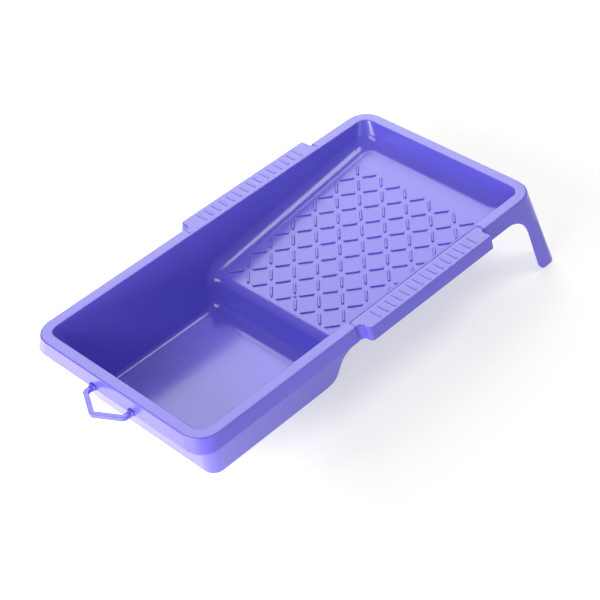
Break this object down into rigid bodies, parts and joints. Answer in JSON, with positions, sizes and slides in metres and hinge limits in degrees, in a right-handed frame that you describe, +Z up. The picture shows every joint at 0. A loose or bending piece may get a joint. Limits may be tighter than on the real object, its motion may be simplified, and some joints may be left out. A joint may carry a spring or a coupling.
{
  "type": "paint roller tray",
  "caption": "Small one-piece plastic paint roller tray with a deep well, a sloping ribbed ramp, two legs, side grip tabs and a hanging loop.",
  "frame": {"origin": "on the floor plane, under the middle of the bounding box", "axes": "+Z up, +Y along the tray from the deep end towards the legs, +X across the tray"},
  "size_m": [0.1728, 0.322, 0.056],
  "materials": {
    "tray_plastic": "semi-gloss violet-blue polypropylene"
  },
  "bodies": {
    "root": {"paint_well": "tray_plastic", "ramp_deck": "tray_plastic", "rim_flange": "tray_plastic", "front_skirt": "tray_plastic", "rear_skirt": "tray_plastic", "left_skirt": "tray_plastic", "right_skirt": "tray_plastic", "left_leg": "tray_plastic", "right_leg": "tray_plastic", "left_grip_tab": "tray_plastic", "right_grip_tab": "tray_plastic", "left_grip_bars": "tray_plastic", "right_grip_bars": "tray_plastic", "roller_grid": "tray_plastic", "gate_mark": "tray_plastic", "loop_bosses": "tray_plastic", "hang_loop": "tray_plastic"}
  },
  "joints": []
}
